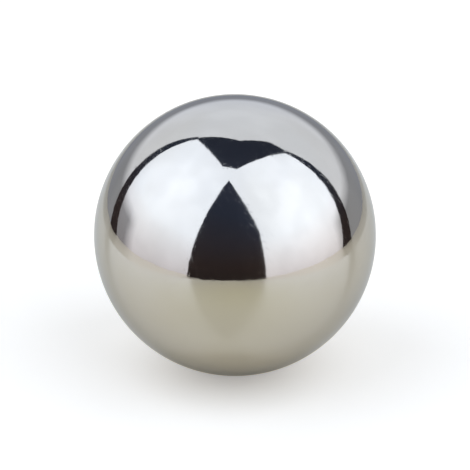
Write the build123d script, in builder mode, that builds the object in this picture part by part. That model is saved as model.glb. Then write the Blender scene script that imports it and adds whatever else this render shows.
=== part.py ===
from build123d import *
import os

# Sphere magnet: one solid ball of sintered magnet material, ground round and plated all over.
# It has no flat, hole or seam, so a single size describes it.
# Lengths are in millimetres. The origin is the ball's centre, and +Z is the axis that it is magnetised
# along, so the two poles are the highest and the lowest point of the ball.
magnet_diameter = 5.0

with BuildPart() as sphere_magnet:
    Sphere(radius=magnet_diameter / 2)

sphere_magnet.part.label = "sphere_magnet"

os.makedirs("parts", exist_ok=True)
export_step(sphere_magnet.part, "parts/sphere_magnet.step")
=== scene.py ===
# %% [markdown]
# # A sphere magnet in a light tent
# The part is one small ball: rare-earth magnet powder pressed and sintered, ground round, and plated with
# bright nickel. It has no edge, seam or pattern, so nearly all that is seen on it is a picture of its
# surroundings, bent round the ball. This lesson therefore has two halves. The first makes the ball itself,
# with the small faults that tell a real plated ball from a perfect one. The second builds the white tent that
# such small shiny things are photographed in, because the tent is what the ball shows.
#
# Lengths are in metres, as everywhere in Blender, and the ball's centre is the origin.

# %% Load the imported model
import math

import bpy
import numpy as np
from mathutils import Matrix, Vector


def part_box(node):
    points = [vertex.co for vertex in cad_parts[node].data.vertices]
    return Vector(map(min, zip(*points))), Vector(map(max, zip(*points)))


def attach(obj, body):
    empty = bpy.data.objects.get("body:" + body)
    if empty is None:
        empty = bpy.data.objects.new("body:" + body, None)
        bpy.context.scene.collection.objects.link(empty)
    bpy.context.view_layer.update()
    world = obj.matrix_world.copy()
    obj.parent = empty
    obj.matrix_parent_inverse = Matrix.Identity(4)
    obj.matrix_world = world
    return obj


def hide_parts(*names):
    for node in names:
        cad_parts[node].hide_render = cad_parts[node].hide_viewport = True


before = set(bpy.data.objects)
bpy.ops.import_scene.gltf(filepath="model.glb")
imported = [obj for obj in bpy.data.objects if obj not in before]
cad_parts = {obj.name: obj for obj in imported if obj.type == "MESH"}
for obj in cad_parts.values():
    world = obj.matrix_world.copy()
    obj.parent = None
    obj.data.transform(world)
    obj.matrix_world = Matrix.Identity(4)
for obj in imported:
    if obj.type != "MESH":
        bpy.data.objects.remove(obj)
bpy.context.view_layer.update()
node_low, node_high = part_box("sphere_magnet")
ball_radius = (node_high.z - node_low.z) / 2
floor_height = node_low.z
print(f"ball radius {ball_radius * 1000:.3f} mm, floor at {floor_height * 1000:.3f} mm")

# %% [markdown]
# ## Putting numpy arrays into a mesh
# Every surface below is worked out as whole numpy arrays: one row for each point, and one row of four point
# numbers for each face. A surface with two parameters is a grid, and its faces are always the same four
# neighbours, so one helper numbers them and a second one makes the object. Objects stay at the origin,
# unturned and unscaled. Their place is in their points.

# %% Two helpers for grids and meshes


def grid_faces(rows, columns):
    """The quads of a grid of points that was flattened row by row.

    The quad at (i, j) joins the points (i, j), (i+1, j), (i+1, j+1) and (i, j+1).
    """
    number = np.arange(rows * columns).reshape(rows, columns)
    corners = (number[:-1, :-1], number[1:, :-1], number[1:, 1:], number[:-1, 1:])
    return np.stack(corners, axis=-1).reshape(-1, 4)


def mesh_object(name, points, faces, material):
    """A new smooth-shaded object with these points, faces and material."""
    mesh = bpy.data.meshes.new(name)
    mesh.from_pydata(points, [], faces, shade_flat=False)
    mesh.materials.append(material)
    made = bpy.data.objects.new(name, mesh)
    bpy.context.scene.collection.objects.link(made)
    print(f"{name}: {len(points)} points, {len(faces)} faces")
    return made


# %% [markdown]
# ## Mottle, a pattern that several finishes share
# No real surface is the same all over. Plating has faint clouds where it took a little better or worse, board
# has them from its pulp, and a tent's cloth from its folds. All three are the same pattern at another size,
# so it is built once as a node group. The noise is stretched about its middle, because plain noise stays
# close to one half and would hardly show.

# %% The mottle node group


def add_node(tree, kind, **settings):
    """A new node of this kind, with its settings made."""
    node = tree.nodes.new(kind)
    for name, value in settings.items():
        setattr(node, name, value)
    return node


def make_mottle_group():
    """Clouds from 0 to 1: noise at the given size, with its range from Low to High spread over 0 to 1."""
    group = bpy.data.node_groups.new("mottle", "ShaderNodeTree")
    group.interface.new_socket("Vector", in_out="INPUT", socket_type="NodeSocketVector")
    for name, value in (("Clouds Per Metre", 1000.0), ("Detail", 3.0), ("Low", 0.35), ("High", 0.65)):
        socket = group.interface.new_socket(name, in_out="INPUT", socket_type="NodeSocketFloat")
        socket.default_value = value
    group.interface.new_socket("Mask", in_out="OUTPUT", socket_type="NodeSocketFloat")
    given = add_node(group, "NodeGroupInput")
    result = add_node(group, "NodeGroupOutput")
    noise = add_node(group, "ShaderNodeTexNoise")
    spread = add_node(group, "ShaderNodeMapRange", interpolation_type="SMOOTHSTEP")
    group.links.new(given.outputs["Vector"], noise.inputs["Vector"])
    group.links.new(given.outputs["Clouds Per Metre"], noise.inputs["Scale"])
    group.links.new(given.outputs["Detail"], noise.inputs["Detail"])
    group.links.new(noise.outputs["Fac"], spread.inputs["Value"])
    group.links.new(given.outputs["Low"], spread.inputs["From Min"])
    group.links.new(given.outputs["High"], spread.inputs["From Max"])
    group.links.new(spread.outputs["Result"], result.inputs["Mask"])
    return group


mottle_group = make_mottle_group()
print(f"{mottle_group.name}: {len(mottle_group.nodes)} nodes, shared by the finishes below")


def add_mottle(tree, vector, size, detail=3.0, low=0.35, high=0.65):
    """Places the mottle group with clouds of about this size in metres, and returns its mask."""
    node = add_node(tree, "ShaderNodeGroup", node_tree=mottle_group)
    tree.links.new(vector, node.inputs["Vector"])
    node.inputs["Clouds Per Metre"].default_value = 1 / size
    node.inputs["Detail"].default_value = detail
    node.inputs["Low"].default_value = low
    node.inputs["High"].default_value = high
    return node.outputs["Mask"]


def add_ramp(tree, mask, low, high):
    """Turns a mask from 0 to 1 into a number from low to high."""
    node = add_node(tree, "ShaderNodeMapRange")
    node.inputs["To Min"].default_value = low
    node.inputs["To Max"].default_value = high
    tree.links.new(mask, node.inputs["Value"])
    return node.outputs["Result"]


def add_mix(tree, mask, first, second):
    """A colour that goes from first, where the mask is 0, to second, where it is 1."""
    node = add_node(tree, "ShaderNodeMix", data_type="RGBA")
    tree.links.new(mask, node.inputs["Factor"])
    node.inputs["A"].default_value = (*first, 1)
    node.inputs["B"].default_value = (*second, 1)
    return node.outputs["Result"]


# %% [markdown]
# ## Bright nickel plating
# Bright nickel is a mirror with a faint warm tint: it gives back a little more red than blue. A metal's Base
# Color is just that, the share of light it gives back face on, so no other colour is needed. At the ball's
# rim the light strikes at a grazing angle, where the shader takes it that a metal gives back nearly all.
# Nickel is slower to do so, and its tint fades there. The Specular Tint says how much less: it is nickel's
# true share at 82 degrees divided by the shader's own.
#
# What keeps the metal from looking like a drawing is small: clouds of slightly warmer metal, a haze that
# comes and goes and softens the picture in the mirror, fine rub marks from being rolled about and handled,
# and a skin that isn't quite level, as on an orange, only far shallower. The numbers that are the same all
# over sit on the shader's own sockets.

# %% The nickel material
metal_colours = ((0.665, 0.62, 0.545), (0.65, 0.60, 0.515))
rim_share = (0.825, 0.85, 0.89, 1)
cloud_size = 0.0016
haze_size = 0.0009
haze_roughness = (0.035, 0.07)
mark_size = (0.0018, 0.00003, 0.00003)
mark_turn = (0.3, 0.9, 0.2)
mark_edge = 0.08
mark_roughness = 0.11
skin_size = 0.00022
skin_depth = 0.0000004


def new_material(name):
    """An empty node material and its tree, with the output node and Object coordinates ready."""
    material = bpy.data.materials.new(name)
    material.use_nodes = True
    tree = material.node_tree
    tree.nodes.clear()
    output = add_node(tree, "ShaderNodeOutputMaterial")
    place = add_node(tree, "ShaderNodeTexCoord").outputs["Object"]
    return material, tree, output, place


def add_rub_marks(tree, place, rarity=0.64):
    """Thin lines one way round the ball: noise drawn out to a mark's length and squeezed to its width.

    The rarity is the height of the noise at which a mark begins, so fewer are left as it rises. A mark has
    its full strength at the mark's edge above that.
    """
    turned = add_node(tree, "ShaderNodeMapping", vector_type="TEXTURE")
    turned.inputs["Rotation"].default_value = mark_turn
    turned.inputs["Scale"].default_value = mark_size
    tree.links.new(place, turned.inputs["Vector"])
    full = rarity + mark_edge
    return add_mottle(tree, turned.outputs["Vector"], 1, detail=1.0, low=rarity, high=full)


def make_nickel():
    """Principled metal whose colour, roughness and level all vary a little with the place on the ball."""
    material, tree, output, place = new_material("nickel_plating")
    shader = add_node(tree, "ShaderNodeBsdfPrincipled")
    shader.inputs["Metallic"].default_value = 1.0
    shader.inputs["Specular Tint"].default_value = rim_share
    tree.links.new(shader.outputs["BSDF"], output.inputs["Surface"])
    clouds = add_mottle(tree, place, cloud_size, detail=4.0)
    tree.links.new(add_mix(tree, clouds, *metal_colours), shader.inputs["Base Color"])
    haze = add_ramp(tree, add_mottle(tree, place, haze_size, detail=5.0), *haze_roughness)
    rough = add_node(tree, "ShaderNodeMath", operation="MULTIPLY_ADD")
    tree.links.new(add_rub_marks(tree, place), rough.inputs[0])
    rough.inputs[1].default_value = mark_roughness
    tree.links.new(haze, rough.inputs[2])
    tree.links.new(rough.outputs["Value"], shader.inputs["Roughness"])
    skin = add_mottle(tree, place, skin_size, detail=2.0, low=0.2, high=0.8)
    bump = add_node(tree, "ShaderNodeBump")
    bump.inputs["Strength"].default_value = 1.0
    bump.inputs["Distance"].default_value = skin_depth
    tree.links.new(skin, bump.inputs["Height"])
    tree.links.new(bump.outputs["Normal"], shader.inputs["Normal"])
    return material


nickel = make_nickel()
print(f"{nickel.name}: {len(nickel.node_tree.nodes)} nodes")

# %% [markdown]
# ## The ball
# Blender's own UV sphere crowds its faces at two poles, and a mirror shows every such unevenness. A cube that
# is blown up to a sphere has six square patches of nearly equal faces and no pole. Each patch is a grid of
# two angles. Taking the tangent of the angles first keeps the faces at the patch's corners as wide as those
# in its middle. Neighbouring patches share their edge points, so equal points are merged and the ball is
# closed.

# %% The six patches


def cube_sphere(cells):
    """Unit directions and quads of a sphere made from the six sides of a cube.

    A patch has two angles, s and t, from -45 to 45 degrees. The point on the cube's side is
    (1, tan s, tan t), turned to that side, and the direction is that point divided by its own length.
    """
    angle = np.linspace(-math.pi / 4, math.pi / 4, cells + 1)
    s, t = np.meshgrid(np.tan(angle), np.tan(angle), indexing="ij")
    one = np.ones_like(s)
    sides = ((one, s, t), (-one, -s, t), (-s, one, t), (s, -one, t), (-t, s, one), (t, s, -one))
    points = np.concatenate([np.stack(side, axis=-1).reshape(-1, 3) for side in sides])
    points = points / np.linalg.norm(points, axis=1, keepdims=True)
    patch = grid_faces(cells + 1, cells + 1)
    quads = np.concatenate([patch + side * (cells + 1) ** 2 for side in range(len(sides))])
    merged, new_number = np.unique(np.round(points, 9) + 0.0, axis=0, return_inverse=True)
    return merged, new_number.reshape(-1)[quads]


cells_per_side = 96
directions, ball_quads = cube_sphere(cells_per_side)
closed_count = 6 * cells_per_side**2 + 2
print(f"{len(directions)} points, and a closed ball has {closed_count}")

# %% [markdown]
# ## Not quite round
# Such balls are ground and tumbled, and are round to a few thousandths of a millimetre. That is nothing to a
# ruler but plain in a mirror, where it makes straight edges waver. Here the ball's radius is changed by a
# dozen shallow sine waves that cross it in random directions. The random numbers are seeded, so that the ball
# is the same each time.

# %% Waves over the ball


def waves(direction, radius, wavelength, height, count, random):
    """The height of a sum of sine waves at each direction, in metres.

    Wave k is sin(2 pi radius (direction . heading_k) / wavelength + phase_k). The sum is divided by the
    square root of count, so that more waves don't make it higher.
    """
    heading = random.normal(size=(3, count))
    heading = heading / np.linalg.norm(heading, axis=0)
    phase = random.uniform(0, 2 * math.pi, count)
    turns = radius * (direction @ heading) / wavelength
    return height * np.sin(2 * math.pi * turns + phase).sum(axis=1) / math.sqrt(count)


wave_length = 0.0026
wave_height = 0.0000009
wave_count = 12
random = np.random.default_rng(5)
swell = waves(directions, ball_radius, wave_length, wave_height, wave_count, random)
print(f"out of round by {np.ptp(swell) * 1e6:.1f} thousandths of a millimetre")

ball = mesh_object("plated_ball", directions * (ball_radius + swell)[:, None], ball_quads, nickel)
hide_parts("sphere_magnet")
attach(ball, "root")

# %% [markdown]
# ## The light tent
# A shiny ball shows everything round it, so small shiny goods are photographed in a tent of thin white cloth
# with lamps outside. The cloth itself becomes the lamp. The ball then shows broad white sides, and dark
# shapes only where the tent is open: its mouth, which the camera looks in by, a gap under the roof, and the
# rods that hold the cloth out. Those dark shapes are what makes the ball look like metal.
#
# Every part of the tent is placed by the direction that it is seen in from the ball, as an azimuth, with the
# camera at 0 and the right at 90 degrees, and a height above the horizon. A corner in a photograph of a
# mirror ball gives just such a direction, so the tent can be set against it corner by corner.

# %% Directions and where they lie
tent_radius = 0.30
card_radius = 0.285
foot_height = -14.0


def toward(azimuth, elevation):
    """The unit direction at these degrees: azimuth 0 is -Y, 90 is +X, and elevation 90 is +Z."""
    a, e = np.radians(azimuth), np.radians(elevation)
    return np.array([np.sin(a) * np.cos(e), -np.cos(a) * np.cos(e), np.sin(e)])


print(f"the tent is {2 * tent_radius:.1f} m across, and its cloth reaches down to {foot_height:.0f} degrees")

# %% [markdown]
# ## Cloth that glows
# The sides are lit by a lamp each and are brightest in front of it. Towards the table the cloth gets darker
# and less blue, because there it is lit by what the table throws back. The back is lit only by the sides. So
# a panel goes from a foot colour to a top colour, with a strength for each, has a broad soft spot where its
# lamp stands, and takes the mottle group for its folds. The light is a little blue, as daylight lamps are,
# which the warm metal turns to a plain white.
#
# Low down behind the ball the cloth's glow is turned down: a painted shade, with no hem or other thing that
# casts it. It is low, but a ball mirrors what is behind it close to its own edge, so the painted shade
# becomes a grey line round the ball's upper rim, which fades inwards. Without it the pale rim would be lost
# against the white ground.

# %% The glowing cloth
foot_rise = -0.17
fold_size = 0.11
fold_levels = (0.96, 1.03)
# Painted shade on the cloth low behind the ball: its glow falls to this share there.
painted_shade_level = 0.38
painted_shade_heights = (0.20, 0.06)
painted_shade_depths = (0.0, 0.2)


def add_rise(tree, place, low, high, axis="Z"):
    """Goes from 0 at low to 1 at high along an axis. Both are shares of the tent's radius."""
    parts = add_node(tree, "ShaderNodeSeparateXYZ")
    tree.links.new(place, parts.inputs["Vector"])
    rise = add_node(tree, "ShaderNodeMapRange")
    rise.inputs["From Min"].default_value = low * tent_radius
    rise.inputs["From Max"].default_value = high * tent_radius
    tree.links.new(parts.outputs[axis], rise.inputs["Value"])
    return rise.outputs["Result"]


def add_product(tree, first, second):
    """Two numbers multiplied."""
    node = add_node(tree, "ShaderNodeMath", operation="MULTIPLY")
    tree.links.new(first, node.inputs[0])
    tree.links.new(second, node.inputs[1])
    return node.outputs["Value"]


def add_painted_shade(tree, place):
    """A mask for the painted shade on the cloth: 1 low down and behind the ball, fading to 0 above it and in
    front.
    """
    low = add_rise(tree, place, *painted_shade_heights)
    behind = add_rise(tree, place, *painted_shade_depths, "Y")
    return add_product(tree, low, behind)


def add_spot(tree, place, middle, reach):
    """Goes from 1 at the middle point to 0 at the reach, a distance in metres, without an edge."""
    away = add_node(tree, "ShaderNodeVectorMath", operation="DISTANCE")
    away.inputs[1].default_value = middle
    tree.links.new(place, away.inputs[0])
    fade = add_node(tree, "ShaderNodeMapRange", interpolation_type="SMOOTHSTEP")
    fade.inputs["From Max"].default_value = reach
    fade.inputs["To Min"].default_value = 1.0
    fade.inputs["To Max"].default_value = 0.0
    tree.links.new(away.outputs["Value"], fade.inputs["Value"])
    return fade.outputs["Result"]


def make_cloth(name, foot, top, top_height, lamp):
    """Cloth that gives light.

    Foot and top are a colour and a strength each. The cloth goes from the foot's to the top's at the top
    height. The lamp is a direction, a strength and a reach, and adds its strength in a soft spot. Heights
    and the reach are shares of the tent's radius.
    """
    material, tree, output, place = new_material(name)
    foot_colour, foot_strength = foot
    top_colour, top_strength = top
    direction, lamp_strength, reach = lamp
    rise = add_rise(tree, place, foot_rise, top_height)
    spot = add_spot(tree, place, tent_radius * toward(*direction), reach * tent_radius)
    lit = add_node(tree, "ShaderNodeMath", operation="ADD")
    tree.links.new(add_ramp(tree, rise, foot_strength, top_strength), lit.inputs[0])
    tree.links.new(add_ramp(tree, spot, 0.0, lamp_strength), lit.inputs[1])
    folds = add_ramp(tree, add_mottle(tree, place, fold_size, detail=1.0), *fold_levels)
    # Painted shade: the cloth's glow is turned down low behind the ball.
    shade = add_ramp(tree, add_painted_shade(tree, place), 1.0, painted_shade_level)
    strength = add_product(tree, add_product(tree, lit.outputs["Value"], folds), shade)
    glow = add_node(tree, "ShaderNodeEmission")
    tree.links.new(add_mix(tree, rise, foot_colour, top_colour), glow.inputs["Color"])
    tree.links.new(strength, glow.inputs["Strength"])
    tree.links.new(glow.outputs["Emission"], output.inputs["Surface"])
    return material


left_foot = ((0.86, 0.87, 1.0), 0.95)
right_foot = ((0.86, 0.87, 1.0), 1.10)
side_top = ((0.735, 0.825, 1.0), 1.66)
side_top_height = 0.36
left_lamp = ((-82, 42), 0.26, 0.75)
right_lamp = ((72, 30), 0.35, 0.90)
side_cloth = {
    "left": make_cloth("left_cloth", left_foot, side_top, side_top_height, left_lamp),
    "right": make_cloth("right_cloth", right_foot, side_top, side_top_height, right_lamp),
}

back_foot = ((0.82, 0.87, 1.0), 1.08)
back_top = ((0.775, 0.85, 1.0), 1.13)
back_top_height = 0.6
no_lamp = ((180, 30), 0.0, 0.67)
back_cloth = make_cloth("back_cloth", back_foot, back_top, back_top_height, no_lamp)
print(f"{len(side_cloth)} side cloths and a back cloth that give light")

# %% [markdown]
# ## Panels of the tent
# A panel is a four-cornered patch of a dome. Its corners are four directions, mixed in straight lines and
# pushed out to the dome, which bends every edge into an arc as a rod would. Left and right panels meet over
# the mouth, and two more close the back.

# %% Patches of a dome


def dome_patch(name, corners, material, cells=12):
    """A patch between four directions, given in order round it.

    The point at (u, v) is the plain mix of the corners, (1-v)((1-u)A + uB) + v((1-u)D + uC), divided by its
    own length and multiplied by the tent's radius.
    """
    a, b, c, d = (toward(*corner) for corner in corners)
    u, v = np.meshgrid(np.linspace(0, 1, cells + 1), np.linspace(0, 1, cells + 1), indexing="ij")
    u, v = u[..., None], v[..., None]
    mixed = (1 - v) * ((1 - u) * a + u * b) + v * ((1 - u) * d + u * c)
    points = tent_radius * mixed / np.linalg.norm(mixed, axis=-1, keepdims=True)
    return mesh_object(name, points.reshape(-1, 3), grid_faces(cells + 1, cells + 1), material)


rod_ends = {
    "left": ((-116, foot_height), (-142, 52)),
    "right": ((101, foot_height), (121, 51)),
}
zenith = (0, 90)
back_ridge = (180, 78)

tent = []
for side, (foot, top) in rod_ends.items():
    front = [(0, foot_height), foot, top, zenith]
    back = [foot, (180, foot_height), back_ridge, top]
    tent.append(dome_patch(f"{side}_side_cloth", front, side_cloth[side]))
    tent.append(dome_patch(f"{side}_back_cloth", back, back_cloth))

# %% [markdown]
# ## The dark shapes
# The mouth and the gap under the roof are holes with straight edges and the dim room behind them. A hole that
# is seen from one place looks just like a dark card hung in front of the cloth, and a card is simpler, so
# cards they are. Low down the room is brown, as from a wooden table outside the mouth, and overhead it is
# dusky blue.

# %% Cards
low_brown = (0.050, 0.036, 0.034)
high_blue = (0.035, 0.042, 0.065)
dusk_heights = (0.0, 0.5)


def make_dark(name):
    """Matt and dark, from the low colour at the horizon to the high colour overhead."""
    material, tree, output, place = new_material(name)
    rise = add_rise(tree, place, *dusk_heights)
    matt = add_node(tree, "ShaderNodeBsdfDiffuse")
    tree.links.new(add_mix(tree, rise, low_brown, high_blue), matt.inputs["Color"])
    tree.links.new(matt.outputs["BSDF"], output.inputs["Surface"])
    return material


dark_room = make_dark("dark_room")

mouth_corners = [(-38.5, foot_height), (24.8, foot_height), (22.4, 27), (-15, 71)]
roof_front = [(-60, 79.5), (8, 81.5), (99, 74.5)]
roof_back = [(139, 58.5), (172, 70)]
roof_corners = [*roof_front, rod_ends["right"][1], *roof_back, rod_ends["left"][1]]


def card(name, points, material):
    """One flat face through these points."""
    return mesh_object(name, np.array(points), np.arange(len(points))[None, :], material)


for name, corners in (("mouth", mouth_corners), ("roof_gap", roof_corners)):
    tent.append(card(name, [card_radius * toward(*corner) for corner in corners], dark_room))

# %% [markdown]
# ## Rods
# A bent rod runs from the table on each side up to the corner of the roof gap. It is a strip along the arc
# between those two directions, wide at the foot, where the cloth is gathered round it, and narrow at the top.

# %% The rods
foot_width = 12
top_width = 3
rod_reach = 1.03


def rod_strip(name, start, end, material, steps=24):
    """A strip along the arc between two directions.

    The middle line at t is (1-t) start + t end, pushed out to the card's radius. Each side lies half the
    width away from it, at right angles to both the arc and the sight line. Widths are in degrees as seen
    from the ball. The strip runs on a little past its end, to the rod's reach, so that no light shows
    between it and what it meets there.
    """
    a, b = toward(*start), toward(*end)
    t = np.linspace(0, rod_reach, steps + 1)[:, None]
    middle = (1 - t) * a + t * b
    middle = middle / np.linalg.norm(middle, axis=1, keepdims=True)
    across = np.cross(a, b) / np.linalg.norm(np.cross(a, b))
    half = np.tan(np.radians((1 - t) * foot_width + t * top_width) / 2)
    points = card_radius * np.stack([middle - half * across, middle + half * across], axis=1)
    return mesh_object(name, points.reshape(-1, 3), grid_faces(steps + 1, 2), material)


for side, (foot, top) in rod_ends.items():
    tent.append(rod_strip(f"{side}_rod", foot, top, dark_room))

for piece in tent:
    piece.visible_camera = False
print(f"{len(tent)} pieces of tent, none of them seen by the camera itself")

# %% [markdown]
# ## The white board
# The ball lies on a white board with a sheen. In its mirror the board is cream, and in front its colour is
# painted warmer, a painted cast of the room's light that comes in by the mouth. It is paler at the sides,
# where the sheen adds the blue-white of the cloth. The camera's own background is to be plain white from any
# side. So what the camera sees directly is a whiter paper with no sheen but with a glow, which keeps the
# shadow, and mirrors and glass get a smaller part of that glow. Looked at from below the board is clear, so
# that the ball's underside can be seen.

# %% Two papers in one material
cream_side = (0.72, 0.655, 0.52)
# Painted warm light: the board's colour is warmer in a soft spot in front of the ball.
painted_light_cream = (0.71, 0.635, 0.425)
white_paper = ((0.93, 0.86, 0.74), (0.92, 0.85, 0.73))
mirror_glow = 0.05
camera_glow = 0.27
painted_light_middle = (0, -0.009, floor_height)
painted_light_reach = 0.011
pulp_size = 0.004
paper_roughness = 0.25
sheen_ior = 1.7
plain_ior = 1.0


def glowing_paper(tree, ior):
    """Adds a paper and a white glow, and returns both and their sum. At an IOR of 1 there is no sheen."""
    paper = add_node(tree, "ShaderNodeBsdfPrincipled")
    paper.inputs["Roughness"].default_value = paper_roughness
    paper.inputs["IOR"].default_value = ior
    glow = add_node(tree, "ShaderNodeEmission")
    both = add_node(tree, "ShaderNodeAddShader")
    tree.links.new(paper.outputs["BSDF"], both.inputs[0])
    tree.links.new(glow.outputs["Emission"], both.inputs[1])
    return paper, glow, both.outputs["Shader"]


def choose_shader(tree, mask, first, second):
    """The first shader where the mask is 0 and the second where it is 1."""
    node = add_node(tree, "ShaderNodeMixShader")
    tree.links.new(mask, node.inputs["Fac"])
    tree.links.new(first, node.inputs[1])
    tree.links.new(second, node.inputs[2])
    return node.outputs["Shader"]


def make_board():
    """One paper for the mirror, another for the camera, and nothing at all from below."""
    material, tree, output, place = new_material("white_board")
    rays = add_node(tree, "ShaderNodeLightPath")
    mirrored, mirrored_glow, in_mirror = glowing_paper(tree, sheen_ior)
    # The painted warm light in front of the ball, mixed into the board's base colour.
    front = add_spot(tree, place, painted_light_middle, painted_light_reach)
    tree.links.new(add_mix(tree, front, cream_side, painted_light_cream), mirrored.inputs["Base Color"])
    either = add_node(tree, "ShaderNodeMath", operation="ADD")
    tree.links.new(rays.outputs["Is Glossy Ray"], either.inputs[0])
    tree.links.new(rays.outputs["Is Transmission Ray"], either.inputs[1])
    glow = add_ramp(tree, either.outputs["Value"], 0.0, mirror_glow)
    tree.links.new(glow, mirrored_glow.inputs["Strength"])
    seen, seen_glow, in_camera = glowing_paper(tree, plain_ior)
    clouds = add_mottle(tree, place, pulp_size, detail=4.0)
    tree.links.new(add_mix(tree, clouds, *white_paper), seen.inputs["Base Color"])
    seen_glow.inputs["Strength"].default_value = camera_glow
    above = choose_shader(tree, rays.outputs["Is Camera Ray"], in_mirror, in_camera)
    clear = add_node(tree, "ShaderNodeBsdfTransparent").outputs["BSDF"]
    side = add_node(tree, "ShaderNodeNewGeometry")
    tree.links.new(choose_shader(tree, side.outputs["Backfacing"], above, clear), output.inputs["Surface"])
    return material


board_material = make_board()
print(f"{board_material.name}: {len(board_material.node_tree.nodes)} nodes")

# %% [markdown]
# ## The ground under the ball
# In the ball's mirror the cloth reaches down to about ten degrees under the horizon, as it does round a ball
# that stands above its tent's table. So here the ball stands on a small oval board, with the table five
# centimetres lower. For the camera alone a wide board goes on from the oval's edge at the same height, so
# that the ball is seen on one plain white ground. Neither the mirror nor the light takes any notice of it.

# %% Board and table


def ring(name, inner, outer, height, material, around=96):
    """A flat ring at this height between two ellipses, each given by its half widths in x and y.

    The point on an ellipse at an angle is (half width x times cos angle, half width y times sin angle).
    """
    angle = np.linspace(0, 2 * math.pi, around + 1)[:, None]
    halves = np.array([inner, outer])
    x, y = np.cos(angle) * halves[:, 0], np.sin(angle) * halves[:, 1]
    points = np.stack([x, y, np.full_like(x, height)], axis=-1).reshape(-1, 3)
    return mesh_object(name, points, grid_faces(around + 1, 2)[:, ::-1], material)


middle = (0.0, 0.0)
oval = (0.0115, 0.0167)
ground_reach = 1.02 * tent_radius
wide = (ground_reach, ground_reach)
table_height = -0.052
oval_board = ring("oval_board", middle, oval, floor_height, board_material)
wide_board = ring("wide_board", oval, wide, floor_height, board_material)
table = ring("table", middle, wide, table_height, board_material)
wide_board.visible_diffuse = False
wide_board.visible_glossy = False
wide_board.visible_shadow = False
table.visible_camera = False

# %% [markdown]
# ## The world outside the tent
# Nothing inside the tent sees the world, so it lights nothing there. It is only the plain white that the
# camera looks at past the board's edge.

# %% A white world
world = bpy.data.worlds.new("white_world")
world.use_nodes = True
world.node_tree.nodes["Background"].inputs["Color"].default_value = (1, 1, 1, 1)
world.node_tree.nodes["Background"].inputs["Strength"].default_value = 1.0
bpy.context.scene.world = world
bpy.context.scene.view_settings.view_transform = "Standard"
print(f"{world.name} is the world")

# %% [markdown]
# ## The camera
# It looks down on the ball by 26 degrees from about a quarter of a metre, through a long lens, so the picture
# of the tent is bent by the ball alone. The lens is worked out from the share of the picture's width that the
# ball is to fill.

# %% Camera
camera_elevation = 26.4
camera_distance = 0.254
ball_share = 0.60

camera_data = bpy.data.cameras.new("camera")
camera_data.sensor_width = 36.0
picture_width = 2 * ball_radius / ball_share
camera_data.lens = camera_data.sensor_width * camera_distance / picture_width
camera_data.clip_start = 0.01
camera_data.clip_end = 10.0
camera = bpy.data.objects.new("camera", camera_data)
bpy.context.scene.collection.objects.link(camera)

sight_line = toward(0, camera_elevation)
camera.location = sight_line * camera_distance
camera.rotation_euler = (math.radians(90 - camera_elevation), 0, 0)
bpy.context.scene.camera = camera
print(f"lens {camera_data.lens:.0f} mm at {camera_distance * 1000:.0f} mm")
